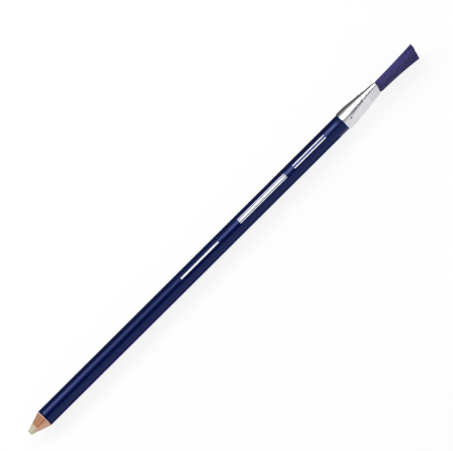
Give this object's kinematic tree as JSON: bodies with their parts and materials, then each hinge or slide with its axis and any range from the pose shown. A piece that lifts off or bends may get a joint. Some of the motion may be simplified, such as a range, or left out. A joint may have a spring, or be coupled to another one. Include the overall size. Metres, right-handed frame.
{
  "type": "eraser pencil with brush",
  "caption": "Round wooden eraser pencil, sharpened at one end, with a flattened metal ferrule and a flat soft brush for sweeping crumbs at the other.",
  "frame": {"origin": "on the axis, in the middle of the lacquered barrel that shows between the sharpened cone and the ferrule", "axes": "+X along the axis from the eraser tip towards the brush, +Z the wide way of the flattened mouth and the tuft, +Y its thin way"},
  "size_m": [0.2073, 0.0078, 0.0129],
  "materials": {
    "bare_wood": "freshly sharpened, open grain",
    "eraser_rubber": "matt, slightly dusty",
    "blue_lacquer": "glossy lacquer on wood",
    "ferrule_metal": "bright, lightly brushed",
    "root_setting": "hard setting resin",
    "bristle": "soft dyed bristle"
  },
  "bodies": {
    "pencil": {"upper_slat": "bare_wood", "lower_slat": "bare_wood", "eraser_core": "eraser_rubber", "lacquer_coat": "blue_lacquer", "ferrule": "ferrule_metal", "root_plug": "root_setting"},
    "tuft": {"bristle_tuft": "bristle"}
  },
  "joints": [
    {"name": "tuft_flex", "type": "hinge", "parent": "pencil", "child": "tuft", "pos_m": [0.0986, 0, 0], "axis": [0, 0, 1], "range_deg": [-30, 30], "stiffness_Nm_per_rad": 0.02}
  ]
}
